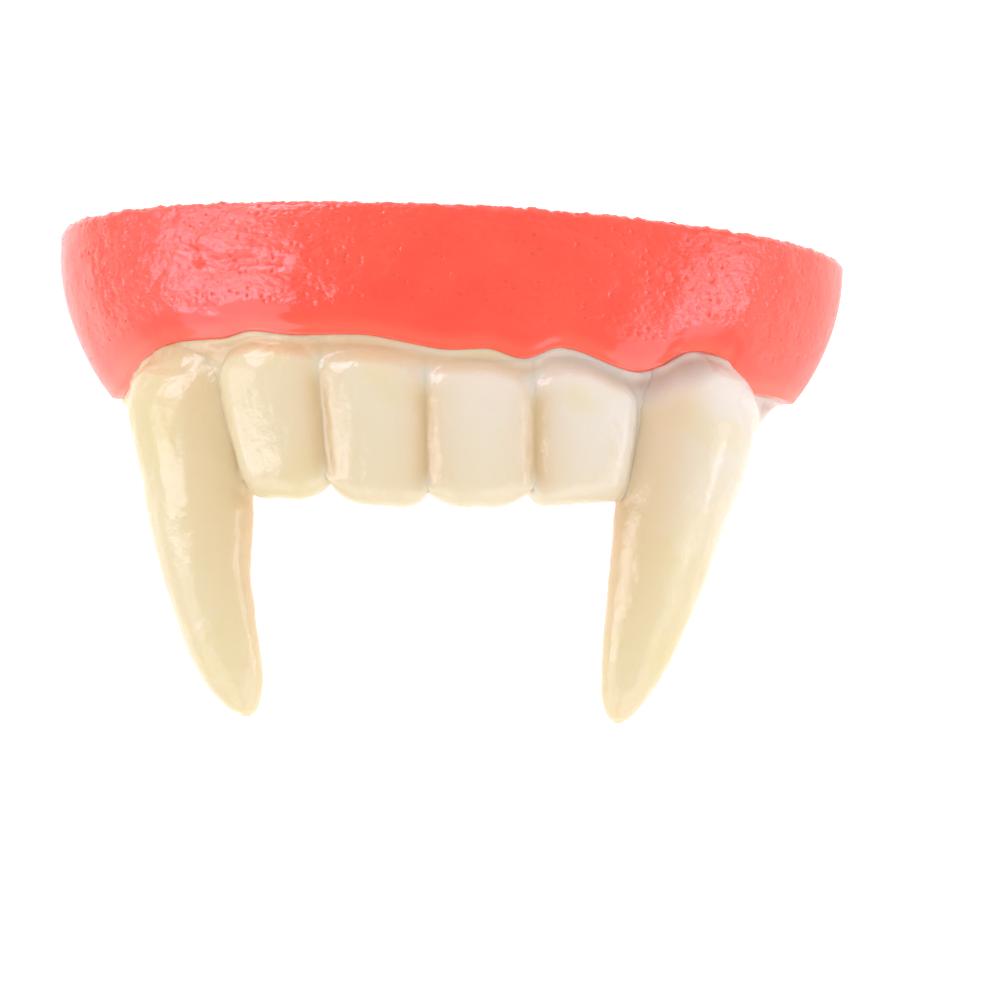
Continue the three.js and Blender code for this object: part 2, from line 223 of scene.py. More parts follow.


# The same resin in cream: satin, a little see-through, with faint yellow clouds from hand mixing. Painted shade
# makes it tan in the grooves and corners and peach under the lip with painted red bounce, and a painted sheen
# whitens the right
def toothResin():
    material, tree = emptyMaterial("tooth_cast_polyurethane_cream")
    place = addNode(tree, "ShaderNodeTexCoord").outputs["Object"]
    groove = addNode(tree, "ShaderNodeAttribute", {"attribute_name": "groove"}).outputs["Fac"]
    collar = addNode(tree, "ShaderNodeAttribute", {"attribute_name": "collar"}).outputs["Fac"]
    axes = addNode(tree, "ShaderNodeSeparateXYZ", None, {0: place}).outputs
    lower = addNode(tree, "ShaderNodeMapRange", {"interpolation_type": "SMOOTHSTEP"},
                    {"Value": axes["Y"], 1: 7 * mm, 2: -9 * mm, 3: 0.0, 4: 1.0})
    # painted sheen: the colour turns whiter and bluer towards the right of the row, where a bluish-white sheen
    # lies on the teeth
    sheenRight = addNode(tree, "ShaderNodeMapRange", {"interpolation_type": "SMOOTHSTEP"},
                     {"Value": axes["X"], 1: -20 * mm, 2: 14 * mm, 3: 0.0, 4: 1.0})
    upper = addNode(tree, "ShaderNodeMix", {"data_type": "RGBA"}, {
        0: sheenRight.outputs["Result"], 6: linearColour("#E2D0A4"), 7: linearColour("#E4DBCF")})
    body = addNode(tree, "ShaderNodeMix", {"data_type": "RGBA"}, {
        0: lower.outputs["Result"], 6: upper.outputs[2], 7: linearColour("#E3D4AA")})
    cloud = addNode(tree, "ShaderNodeTexNoise", None,
                    {"Vector": place, "Scale": 1 / (5 * mm), "Detail": 2.0, "Roughness": 0.45})
    stain = addNode(tree, "ShaderNodeMapRange", {"interpolation_type": "SMOOTHSTEP"},
                    {"Value": cloud.outputs["Fac"], 1: 0.52, 2: 0.72, 3: 0.0, 4: 0.4})
    clouded = addNode(tree, "ShaderNodeMix", {"data_type": "RGBA"}, {
        0: stain.outputs["Result"], 6: body.outputs[2], 7: linearColour("#E0D196")})
    # painted shade: tan where the groove attribute marks grooves, webs and corners between pieces
    grooveShaded = addNode(tree, "ShaderNodeMix", {"data_type": "RGBA"}, {
        0: groove, 6: clouded.outputs[2], 7: linearColour("#DABC8C")})
    # the under-lip tint across the row: darker and mauve at the right fang's neck, painted shade under the lip
    # there
    across = addNode(tree, "ShaderNodeMapRange", None,
                     {"Value": axes["X"], 1: -20 * mm, 2: 20 * mm, 3: 0.0, 4: 1.0})
    peach = addNode(tree, "ShaderNodeValToRGB", None, {"Fac": across.outputs["Result"]})
    ramp = peach.color_ramp.elements
    ramp[0].position, ramp[0].color = 0.05, linearColour("#D6B080")
    ramp[1].position, ramp[1].color = 0.92, linearColour("#B89280")
    for position, tint in ((0.4, "#ECB684"), (0.62, "#E2BE92"), (0.75, "#CFB198")):
        ramp.new(position).color = linearColour(tint)
    underLipShaded = addNode(tree, "ShaderNodeMix", {"data_type": "RGBA"}, {
        0: collar, 6: grooveShaded.outputs[2], 7: peach.outputs["Color"]})
    wet = addNode(tree, "ShaderNodeTexNoise", None,
                  {"Vector": place, "Scale": 1 / (2.2 * mm), "Detail": 2.0})
    rough = addNode(tree, "ShaderNodeMapRange", None,
                    {"Value": wet.outputs["Fac"], 1: 0.25, 2: 0.75, 3: 0.14, 4: 0.25})
    peel = addNode(tree, "ShaderNodeTexNoise", None,
                   {"Vector": place, "Scale": 1 / (0.5 * mm), "Detail": 2.0})
    bump = addNode(tree, "ShaderNodeBump", None,
                   {"Height": peel.outputs["Fac"], "Strength": 0.7, "Distance": 0.06 * mm})
    shader = addNode(tree, "ShaderNodeBsdfPrincipled", None, {
        "Base Color": underLipShaded.outputs[2], "Roughness": rough.outputs["Result"], "IOR": 1.41,
        "Subsurface Weight": 0.35, "Subsurface Radius": (1.0, 0.6, 0.3), "Subsurface Scale": 1.5 * mm,
        "Normal": bump.outputs["Normal"]})
    addNode(tree, "ShaderNodeOutputMaterial", None, {"Surface": shader.outputs["BSDF"]})
    return material


gumMaterial = gumResin()
toothMaterial = toothResin()
print("materials made")


# Cast relief: slow waves, orange peel and scattered pits along the normals, and a torn rim; the "skin"
# attribute says where the mould was rough and "torn" where the rim was pulled off it
def castReliefTree():
    tree, given = emptyTree("cast_relief", {
        "Float": ("Wave Size", "Wave Height", "Peel Size", "Peel Height", "Pit Spacing", "Pit Depth",
                  "Tear Size", "Tear Height", "Squeeze", "Seed"),
        "Material": ("Material",)})
    squeeze = addNode(tree, "ShaderNodeCombineXYZ", None,
                      {"X": 1.0, "Y": given["Squeeze"], "Z": 1.0}).outputs[0]
    place = addNode(tree, "GeometryNodeInputPosition").outputs[0]
    place = addNode(tree, "ShaderNodeVectorMath", {"operation": "MULTIPLY"}, {0: place, 1: squeeze}).outputs[0]
    normal = addNode(tree, "GeometryNodeInputNormal").outputs[0]
    skin, torn = (addNode(tree, "GeometryNodeInputNamedAttribute", {"data_type": "FLOAT"},
                          {"Name": name}).outputs[0] for name in ("skin", "torn"))

    def cloud(size, detail):  # signed noise of a real size
        scale = addNode(tree, "ShaderNodeMath", {"operation": "DIVIDE"}, {0: 1.0, 1: size})
        noise = addNode(tree, "ShaderNodeTexNoise", {"noise_dimensions": "4D"}, {
            "Vector": place, "W": given["Seed"], "Scale": scale.outputs[0], "Detail": detail})
        signed = addNode(tree, "ShaderNodeMath", {"operation": "SUBTRACT"}, {0: noise.outputs[0], 1: 0.5})
        return signed.outputs[0]

    wave = addNode(tree, "ShaderNodeMath", {"operation": "MULTIPLY"},
                   {0: cloud(given["Wave Size"], 1.0), 1: given["Wave Height"]}).outputs[0]
    peel = addNode(tree, "ShaderNodeMath", {"operation": "MULTIPLY"},
                   {0: cloud(given["Peel Size"], 2.0), 1: given["Peel Height"]}).outputs[0]
    cells = addNode(tree, "ShaderNodeMath", {"operation": "DIVIDE"}, {0: 1.0, 1: given["Pit Spacing"]})
    pits = addNode(tree, "ShaderNodeTexVoronoi", {"voronoi_dimensions": "3D"},
                   {"Vector": place, "Scale": cells.outputs[0]})
    hole = addNode(tree, "ShaderNodeMapRange", {"interpolation_type": "SMOOTHSTEP"},
                   {"Value": pits.outputs["Distance"], 1: 0.1, 2: 0.34, 3: 1.0, 4: 0.0}).outputs[0]
    chance = addNode(tree, "ShaderNodeSeparateXYZ", None, {0: pits.outputs["Color"]}).outputs["X"]
    some = addNode(tree, "ShaderNodeMapRange", None,
                   {"Value": chance, 1: 0.25, 2: 0.8, 3: 0.0, 4: 1.0}).outputs[0]
    pit = addNode(tree, "ShaderNodeMath", {"operation": "MULTIPLY"}, {0: hole, 1: some}).outputs[0]
    sunk = addNode(tree, "ShaderNodeMath", {"operation": "MULTIPLY"},
                   {0: pit, 1: given["Pit Depth"]}).outputs[0]
    bumpy = addNode(tree, "ShaderNodeMath", {"operation": "ADD"}, {0: wave, 1: peel}).outputs[0]
    rough = addNode(tree, "ShaderNodeMath", {"operation": "SUBTRACT"}, {0: bumpy, 1: sunk}).outputs[0]
    masked = addNode(tree, "ShaderNodeMath", {"operation": "MULTIPLY"}, {0: rough, 1: skin}).outputs[0]
    relief = addNode(tree, "ShaderNodeVectorMath", {"operation": "SCALE"},
                     {0: normal, "Scale": masked}).outputs[0]
    tear = addNode(tree, "ShaderNodeMath", {"operation": "MULTIPLY"},
                   {0: cloud(given["Tear Size"], 3.0), 1: given["Tear Height"]}).outputs[0]
    ragged = addNode(tree, "ShaderNodeMath", {"operation": "MULTIPLY"}, {0: tear, 1: torn}).outputs[0]
    raised = addNode(tree, "ShaderNodeCombineXYZ", None, {"Y": ragged}).outputs[0]
    shift = addNode(tree, "ShaderNodeVectorMath", {"operation": "ADD"}, {0: relief, 1: raised}).outputs[0]
    moved = addNode(tree, "GeometryNodeSetPosition", None, {"Geometry": given["Geometry"], "Offset": shift})
    real = addNode(tree, "GeometryNodeRealizeInstances", None, {0: moved.outputs[0]})
    painted = addNode(tree, "GeometryNodeSetMaterial", None,
                      {"Geometry": real.outputs[0], "Material": given["Material"]})
    addNode(tree, "NodeGroupOutput", None, {"Geometry": painted.outputs[0]})
    return tree


castRelief = castReliefTree()


# Gum: outer face with a rolled lip, a trough for the wearer's teeth and an inner wall

gum = {
    "stations": 760, "faceRows": 88,
    "lipThickness": 0.55, "lipOverlap": 0.8, "lipRound": 4,
    "heelRound": 0.3,
    # margin: across, how far below the rim the lip ends
    "margin": [
        (-24.6, 11.3), (-21.9, 10.3), (-19.8, 9.6), (-18.2, 9.2), (-15.7, 8.9), (-13.4, 8.9), (-11.3, 8.5),
        (-8.3, 8.8), (-4.5, 8.7), (1.2, 9.5), (3.4, 9.3), (5.6, 9.8), (7.9, 8.9), (12.6, 10.0), (14.0, 9.6),
        (15.5, 8.5), (17.0, 8.1), (18.7, 8.4), (19.7, 9.5), (21.0, 10.0), (24.6, 9.7)],
    # outer face: share of the fall from rim to margin, inset in front, what the roll adds at the sides
    "face": [
        (0, 0.5, 0.3), (0.02, 0.25, 0.1), (0.05, 0.12, 0), (0.18, -0.1, 0), (0.36, -0.3, 0), (0.54, -0.4, 0),
        (0.66, -0.42, 0), (0.76, -0.34, 0), (0.84, -0.18, 0), (0.92, 0.04, 0.02), (1, 0.28, 0.08)],
    # trough behind it and the rim, in order round the section: inset in front and at the sides, how far
    # below the rim
    "trough": [
        (10.4, 10.4, 8.4), (13.4, 13.4, 8.1), (14.2, 14.2, 7.0), (14.0, 14.0, 2.2), (13.3, 13.3, 1.3),
        (12.1, 12.1, 1.3), (11.4, 11.4, 2.2), (11.0, 11.0, 5.2), (10.2, 10.2, 6.0), (4.3, 5.2, 6.0),
        (3.5, 4.4, 5.2), (3.0, 3.3, 2.8), (2.7, 2.7, 0.5), (2.2, 2.2, 0.0), (1.75, 1.75, 0.0), (1.3, 1.3, 0.0),
        (0.85, 0.85, 0.0)],
    "cadLipInset": (0.95, 0.55),  # where the solid's lip ends, which the tooth bar follows
    "marginInset": 0.6,  # inset of the face at the margin
    "smoothBand": (1.2, 2.4),  # the brushed band above the margin and where the mould's skin is full
    "lipSheenBand": (1.2, 0.3),  # the band along the lip that is painted lighter, a painted sheen
    "smoothEnds": (21.0, 23.6), "endSmoothing": 0.65,  # the face is smoother at its ends
    "roughSide": (-8.0, -12.0), "sideRoughness": 0.3,  # and rougher at the left
    # dents in the face: across, below, half width, half height, depth
    "dents": [
        (-14.96, 3.24, 0.42, 0.3, 0.17), (-14.15, 4.14, 0.5, 0.4, 0.2), (-16.3, 0.8, 0.3, 0.25, 0.1),
        (-12.8, 1.45, 0.35, 0.2, 0.08), (-17.6, 8.3, 0.5, 0.25, 0.08), (19.6, 6.6, 0.6, 0.35, 0.08)],
    # wrinkles: width, depth, then points across and below
    "wrinkles": [
        (0.42, 0.2, [(-16.7, 1.85), (-15.56, 2.87), (-14.51, 3.33), (-13.27, 4.05), (-11.73, 3.83),
                     (-10.35, 4.13)]),
        (0.5, 0.26, [(-14.6, 4.3), (-12.9, 4.25), (-11.2, 4.0), (-9.6, 4.2), (-8.2, 4.5)]),
        (0.16, -0.09, [(-13.77, 4.25), (-12.9, 4.06), (-12.04, 3.8)]),
        (0.22, 0.05, [(-21.25, 0.62), (-20.96, 1.88), (-21.05, 3.36), (-20.6, 5.3), (-20.4, 6.68)]),
        (0.16, 0.03, [(-21.7, 2.6), (-21.55, 4.2), (-21.2, 5.6)]),
        (0.45, 0.05, [(-17.0, 6.3), (-14.1, 7.0), (-10.9, 7.5), (-7.5, 7.3)])],
    "relief": {
        "Wave Size": 2.8 * mm, "Wave Height": 0.32 * mm, "Peel Size": 0.62 * mm, "Peel Height": 0.1 * mm,
        "Pit Spacing": 0.58 * mm, "Pit Depth": 0.11 * mm, "Tear Size": 0.7 * mm, "Tear Height": 0.55 * mm,
        "Squeeze": 1.6, "Seed": 3.0},
}


def marginBelow(share):
    return readTable(gum["margin"], 1, acrossAt(share))


def marginAt(x):  # the same for a place given by its x on the face
    across = x * (arch["halfWidth"] - arch["acrossInset"]) / (arch["halfWidth"] - gum["marginInset"])
    return readTable(gum["margin"], 1, across)


def faceInset(share, fall):
    drop = np.maximum(0, fall * marginBelow(share) - arch["flareStart"])
    side = arch["flareRate"] * drop * drop + readTable(gum["face"], 2, fall)
    front = readTable(gum["face"], 1, fall)
    return front + (side - front) * sideness(share)


def lipInset(share):  # the solid's lip, so that the bar and the teeth sit where the solids do
    drop = np.maximum(0, marginBelow(share) - arch["flareStart"])
    front, roll = gum["cadLipInset"]
    return front + (arch["flareRate"] * drop * drop + roll - front) * sideness(share)


def lineDistance(across, below, points):  # distance to a line of points on the face, and share along it
    best = np.full(np.broadcast(across, below).shape, 1e9)
    place = np.zeros(best.shape)
    for i in range(len(points) - 1):
        start, end = np.array(points[i]), np.array(points[i + 1])
        step = end - start
        t = np.clip(((across - start[0]) * step[0] + (below - start[1]) * step[1]) / np.dot(step, step), 0, 1)
        away = np.hypot(across - start[0] - t * step[0], below - start[1] - t * step[1])
        place = np.where(away < best, (i + t) / (len(points) - 1), place)
        best = np.minimum(best, away)
    return best, place


def faceMarks(share, below):  # listed dents and wrinkles of the casting
    across = acrossAt(share) + 0 * below
    sunk = np.zeros(below.shape)
    for x, y, wide, high, deep in gum["dents"]:
        sunk += deep * np.exp(-((across - x) / wide) ** 2 - ((below - y) / high) ** 2)
    for wide, deep, points in gum["wrinkles"]:
        away, place = lineDistance(across, below, points)
        sunk += deep * np.exp(-(away / wide) ** 2) * smoothStep(0, 0.2, place) * smoothStep(1, 0.8, place)
    return sunk


def makeGum():
    share = np.linspace(1, -1, gum["stations"])
    ends = np.array([0.0008, 0.002, 0.004, 0.007])  # extra rings for the rounded heels
    share = np.sort(np.concatenate([share, 1 - ends, ends - 1]))[::-1][:, None]
    below = marginBelow(share)
    fall = np.linspace(0, 1, gum["faceRows"])[None, :]
    face = archPoint(share, faceInset(share, fall) + faceMarks(share, fall * below), fall * below)
    edge = faceInset(share, 1.0)
    back = lipInset(share) + gum["lipThickness"]
    turn = np.linspace(0, math.pi, gum["lipRound"] + 2)[None, 1:]
    lip = archPoint(share, edge + (back - edge) * (1 - np.cos(turn)) / 2, below + 0.1 * np.sin(turn))
    trough = [archPoint(share, back, below - gum["lipOverlap"])]
    for front, side, deep in gum["trough"]:
        trough.append(archPoint(share, front + (side - front) * sideness(share), deep))
    trough = np.concatenate(trough + [face[:, :1]], 1)
    near, far = trough[:, :-1], trough[:, 1:]  # corners cut once, so that the casting has soft edges
    cut = np.stack([near * 0.75 + far * 0.25, near * 0.25 + far * 0.75], 2).reshape(len(share), -1, 3)
    grid = np.concatenate([face, lip, trough[:, :1], cut[:, 1:-1]], 1)
    # heels: the section shrinks towards its end over a small radius
    radius = gum["heelRound"]
    depth = np.clip(radius - grid[..., 2], 0, radius)
    inward = np.roll(grid, -1, 1) - np.roll(grid, 1, 1)
    inward = np.stack([inward[..., 1], -inward[..., 0], np.zeros(inward.shape[:2])], -1)
    inward /= np.maximum(np.linalg.norm(inward, axis=-1, keepdims=True), 1e-6)
    inward *= np.where(grid[..., :1] > 0, 1, -1)
    grid = grid + inward * (radius - np.sqrt(radius ** 2 - depth ** 2))[..., None]
    # where the mould was rough and where the rim tore
    skin = np.full(grid.shape[:2], 0.6)
    count = fall.shape[1]
    smoother = 1 - gum["endSmoothing"] * smoothStep(*gum["smoothEnds"], np.abs(acrossAt(share)))
    rougher = 1 + gum["sideRoughness"] * smoothStep(*gum["roughSide"], acrossAt(share)) * smoother
    skin[:, :count] = smoothStep(*gum["smoothBand"], (1 - fall) * below) * smoother * rougher
    skin[:, count:count + gum["lipRound"] + 2] = 0
    # lip: where the lighter coral of the painted sheen goes
    lip = np.zeros(grid.shape[:2])
    lip[:, :count] = smoothStep(*gum["lipSheenBand"], (1 - fall) * below)
    lip[:, count:count + gum["lipRound"] + 2] = 1
    flat = smoothStep(0.3, 1.2, grid[..., 2])
    torn = smoothStep(0.6, 0.0, -grid[..., 1]) * flat
    marks = {"skin": skin * flat, "torn": torn, "lip": lip}
    piece = meshPiece("gum_cast", grid, marks, gumMaterial, "flat")
    return applyTree(piece, castRelief, dict(gum["relief"], Material=gumMaterial))


gumPiece = makeGum()
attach(gumPiece, "root")
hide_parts("gum")
print("gum made:", len(gumPiece.data.polygons), "faces")


# Rim nibs: crumbs of torn resin left along the rim

nibs = {
    "spacing": 0.55 * mm, "smallest": 0.08 * mm, "largest": 0.26 * mm, "seed": 5,
    "inset": 0.75, "below": 0.12, "ends": 0.95, "pathPoints": 400,  # the line they lie on
}


def rimNibTree():
    tree, given = emptyTree("rim_nibs", {
        "Float": ("Spacing", "Smallest", "Largest"), "Int": ("Seed",), "Material": ("Material",)})
    path = addNode(tree, "GeometryNodeMeshToCurve", None, {"Mesh": given["Geometry"]})
    spots = addNode(tree, "GeometryNodeResampleCurve", {"mode": "LENGTH"},
                    {"Curve": path.outputs[0], "Length": given["Spacing"]})
    crumb = addNode(tree, "GeometryNodeMeshIcoSphere", None, {"Radius": 1.0, "Subdivisions": 2})
    size = addNode(tree, "FunctionNodeRandomValue", {"data_type": "FLOAT"},
                   {2: given["Smallest"], 3: given["Largest"], "Seed": given["Seed"]})
    shape = addNode(tree, "FunctionNodeRandomValue", {"data_type": "FLOAT_VECTOR"},
                    {0: (0.9, 0.45, 0.7), 1: (1.8, 0.9, 1.2), "Seed": given["Seed"]})
    scale = addNode(tree, "ShaderNodeVectorMath", {"operation": "SCALE"},
                    {0: shape.outputs[0], "Scale": size.outputs[1]})
    keep = addNode(tree, "FunctionNodeRandomValue", {"data_type": "BOOLEAN"},
                   {"Probability": 0.6, "Seed": given["Seed"]})
    turn = addNode(tree, "FunctionNodeRandomValue", {"data_type": "FLOAT_VECTOR"},
                   {0: (-0.5, -0.6, -0.5), 1: (0.5, 0.6, 0.5), "Seed": given["Seed"]})
    laid = addNode(tree, "GeometryNodeInstanceOnPoints", None, {
        "Points": spots.outputs[0], "Selection": keep.outputs[3], "Instance": crumb.outputs[0],
        "Rotation": turn.outputs[0], "Scale": scale.outputs[0]})
    real = addNode(tree, "GeometryNodeRealizeInstances", None, {0: laid.outputs[0]})
    smooth = addNode(tree, "GeometryNodeSetShadeSmooth", None, {0: real.outputs[0]})
    painted = addNode(tree, "GeometryNodeSetMaterial", None,
                      {"Geometry": smooth.outputs[0], "Material": given["Material"]})
    addNode(tree, "NodeGroupOutput", None, {"Geometry": painted.outputs[0]})
    return tree


def makeNibs():
    share = np.linspace(nibs["ends"], -nibs["ends"], nibs["pathPoints"])
    points = archPoint(share, nibs["inset"], nibs["below"]) * mm + rimPlace
    mesh = bpy.data.meshes.new("rim_nibs")
    mesh.from_pydata(points.tolist(), [(i, i + 1) for i in range(len(points) - 1)], [])
    piece = bpy.data.objects.new("rim_nibs", mesh)
    bpy.context.collection.objects.link(piece)
    return applyTree(piece, rimNibTree(), {
        "Spacing": nibs["spacing"], "Smallest": nibs["smallest"], "Largest": nibs["largest"],
        "Seed": nibs["seed"], "Material": gumMaterial})


nibPiece = makeNibs()
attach(nibPiece, "root")
print("rim nibs made:", len(nibPiece.data.polygons), "faces")


# One soft relief for every cream piece, so that they read as one casting
toothRelief = {
    "Wave Size": 2.6 * mm, "Wave Height": 0.32 * mm, "Peel Size": 0.9 * mm, "Peel Height": 0.15 * mm,
    "Pit Spacing": 1.3 * mm, "Pit Depth": 0.0, "Tear Size": 1.0 * mm, "Tear Height": 0.0,
    "Squeeze": 0.7, "Seed": 23.0, "Material": toothMaterial,
}

# Peach tint painted on the cream resin just under the lip: painted shade and painted red bounce from the gum
collarBand = {
    "depth": 2.0, "fade": 1.7,
    "further": 1.3, "furtherFrom": (12, 15), "furtherTo": (19.2, 17),  # the painted shade reaches deeper at the right fang's neck, under the lip
    "paler": 0.7, "palerFrom": (18.0, 20.0), "palerTo": (22.0, 20.6),  # and is paler on its outer shoulder
    "bead": 0.4, "beadEdge": (0.2, 0.9),  # lighter on the bead itself, a painted highlight on its ridge
}


# how much painted shade and painted red bounce the cream gets under the lip
def collarTint(across, deep):
    band = collarBand
    further = smoothStep(*band["furtherFrom"], across) * smoothStep(*band["furtherTo"], across)
    further = band["further"] * further
    less = smoothStep(*band["palerFrom"], across) * smoothStep(*band["palerTo"], across)
    bead = band["bead"] + (1 - band["bead"]) * smoothStep(*band["beadEdge"], deep)
    reach = smoothStep(0, 1, (band["depth"] + further - deep) / (band["fade"] + further))
    return bead * reach * (1 - band["paler"] * less)


def creamPiece(name, grid, skin, groove, collar, closing):
    marks = {"skin": skin, "torn": 0 * skin, "groove": groove, "collar": collar}
    return meshPiece(name + "_cast", grid, marks, toothMaterial, closing)


# Fangs: long curved cones with a soft ridge down the front

fang = {
    "rows": 200, "ring": 120, "ridge": 0.11, "ridgeWidth": 0.5, "names": ("fang_left", "fang_right"),
    "innerShade": (0.5, 0.7),  # painted shade: how tan the side towards the incisors is painted, left and right
    # each fang: turn with the arch, place of its ridge, then below, left, right, height of the spine, and
    # depth before and behind it as a share of the half width
    "fang_left": (-0.65, 0.1, [
        (9.0, -18.0, -15.4, 11.4, 0.2, 0.1), (10.0, -18.9, -15.0, 12.1, 0.3, 0.1),
        (10.7, -19.5, -14.6, 12.3, 0.4, 0.1), (11.6, -20.0, -14.0, 12.4, 0.56, 0.1),
        (13.2, -20.15, -13.2, 12.6, 0.74, 0.15), (15.4, -19.75, -12.35, 12.8, 0.8, 0.5),
        (18.0, -19.0, -11.6, 13.0, 0.8, 0.7), (20.4, -18.45, -11.3, 13.0, 0.8, 0.76),
        (23.7, -17.45, -11.35, 13.0, 0.81, 0.8), (27.0, -16.25, -10.9, 12.8, 0.82, 0.82),
        (29.6, -15.2, -10.45, 12.6, 0.84, 0.84), (31.3, -14.1, -10.25, 12.4, 0.87, 0.87),
        (32.5, -13.0, -10.4, 12.2, 0.9, 0.9), (33.1, -12.2, -10.65, 12.1, 0.95, 0.95),
        (33.4, -11.6, -11.0, 12.0, 1.0, 1.0)]),
    "fang_right": (0.65, -0.35, [
        (7.0, 15.9, 18.2, 11.2, 0.2, 0.1), (8.0, 15.6, 18.9, 11.8, 0.26, 0.1),
        (8.8, 15.2, 19.6, 12.0, 0.32, 0.1), (9.9, 14.5, 20.7, 12.1, 0.44, 0.1),
        (12.2, 13.8, 21.4, 12.3, 0.72, 0.15), (14.4, 13.2, 21.0, 12.6, 0.8, 0.5),
        (17.1, 12.6, 20.3, 12.8, 0.8, 0.7), (19.7, 12.25, 19.45, 12.9, 0.8, 0.76),
        (23.0, 12.1, 18.45, 12.9, 0.81, 0.8), (26.3, 11.95, 17.35, 12.8, 0.82, 0.82),
        (28.9, 11.9, 16.15, 12.6, 0.84, 0.84), (30.8, 11.95, 15.15, 12.4, 0.87, 0.87),
        (32.0, 12.2, 14.25, 12.2, 0.9, 0.9), (32.5, 12.5, 13.75, 12.1, 0.95, 0.95),
        (32.75, 12.8, 13.4, 12.0, 1.0, 1.0)]),
}


def fangSection(name, below):  # spine across and up, half width, depth before and behind it
    turn, rows = fang[name][0], fang[name][2]
    left, right, up, ahead, behind = (readTable(rows, i, below) for i in range(1, 6))
    leftDepth, rightDepth = (ahead, behind) if turn < 0 else (behind, ahead)
    seenLeft = np.hypot(math.cos(turn), leftDepth * math.sin(turn))
    seenRight = np.hypot(math.cos(turn), rightDepth * math.sin(turn))
    half = (right - left) / (seenLeft + seenRight)
    return left + half * seenLeft, up, half, ahead, behind


def makeFang(name):
    turn, ridgeSide, rows = fang[name]
    t = 0.5 - 0.5 * np.cos(np.linspace(0, math.pi, fang["rows"]))
    below = (rows[0][0] + (rows[-1][0] - rows[0][0]) * t)[:, None]
    spine, up, half, ahead, behind = fangSection(name, below)
    angle = np.linspace(0, 2 * np.pi, fang["ring"], endpoint=False)[None, :]
    depth = np.where(np.sin(angle) > 0, ahead, behind)
    side = -half * np.cos(angle)
    out = half * depth * np.sin(angle)
    strength = smoothStep(0.12, 0.3, t) * smoothStep(0.97, 0.75, t)
    crest = np.exp(-((side / half - ridgeSide) / fang["ridgeWidth"]) ** 2) * np.sin(angle).clip(0)
    out = out + fang["ridge"] * strength[:, None] * crest
    x = spine + side * math.cos(turn) + out * math.sin(turn)
    z = up - side * math.sin(turn) + out * math.cos(turn)
    grid = np.stack([x, -below + 0 * x, z], -1)
    inner = np.cos(angle) * (-1 if turn < 0 else 1)
    deep = below - marginAt(x)
    tan = fang["innerShade"][0 if turn < 0 else 1]
    # painted shade: tan on the inner side, from a little below the lip
    groove = tan * smoothStep(0.0, 0.95, inner) * smoothStep(0.95, 0.4, t)[:, None] * smoothStep(1.0, 3.5, deep)
    return creamPiece(name, grid, np.ones(x.shape), groove, collarTint(x, deep), "pole")


toothPieces = {name: makeFang(name) for name in fang["names"]}
print("fangs made")


# Tooth bar: the cream collar under the lip, the web behind the crowns and the round corners at the fangs

bar = {
    "stations": 480, "frontRows": 44, "backRows": 10, "roundRows": 6,
    "thickness": 2.3, "sideLean": 0.5, "edgeRound": 0.5,
    "collarStand": 0.75, "webFill": 0.75, "webDepths": (0.9, 3.2),  # how far the collar and the webs stand out
    "bead": 0.32, "beadAt": 0.15, "beadWidth": 0.5, "beadLessAtSides": 0.8,  # the collar's bead under the lip
    "crownSunk": 0.3, "crownSpan": (-12.5, 11.8), "crownFade": 1.2,  # the web lies back behind the crowns
    # and in a valley beside the fangs: across at two depths below the rim, half width
    "gapSunk": 0.45, "gapDepths": (9.6, 19.4), "gaps": ((-14.5, -11.6, 1.6), (13.8, 12.8, 1.6)),
    # painted shade: how tan the web between the teeth is painted
    "webShade": 0.5,
    # where the crowns begin: across, below
    "crownStart": [
        (-14.2, 9.2), (-12.5, 9.0), (-10.0, 8.85), (-7.6, 9.05), (-6.2, 9.4), (-3.5, 9.5), (-1.0, 9.75),
        (0.4, 10.0), (3.2, 10.1), (5.4, 10.1), (6.9, 9.75), (8.6, 9.55), (13.2, 10.6)],
    # low edge: across, how far below the rim
    "lowEdge": [
        (-24.6, 11.9), (-17.0, 12.0), (-15.4, 13.6), (-14.0, 16.0), (-12.6, 18.0), (-11.2, 18.2), (-9.4, 17.4),
        (10.2, 17.2), (11.6, 17.6), (12.7, 17.5), (13.8, 15.9), (15.2, 13.4), (17.0, 12.2),
        (22.6, 12.2), (23.2, 11.9), (23.8, 10.9), (24.6, 10.1)],
}


def barInset(share):
    return lipInset(share) + gum["lipThickness"]


def webStand(share, below):  # how far the bar's front stands out: a bead under the lip, full between the teeth
    deep = below - marginBelow(share)
    bead = bar["bead"] * np.exp(-((deep - bar["beadAt"]) / bar["beadWidth"]) ** 2)
    bead = bead * (1 - bar["beadLessAtSides"] * sideness(share))
    web = bar["webFill"] * smoothStep(*bar["webDepths"], deep) * (1 - sideness(share))
    return bar["collarStand"] + bead + web


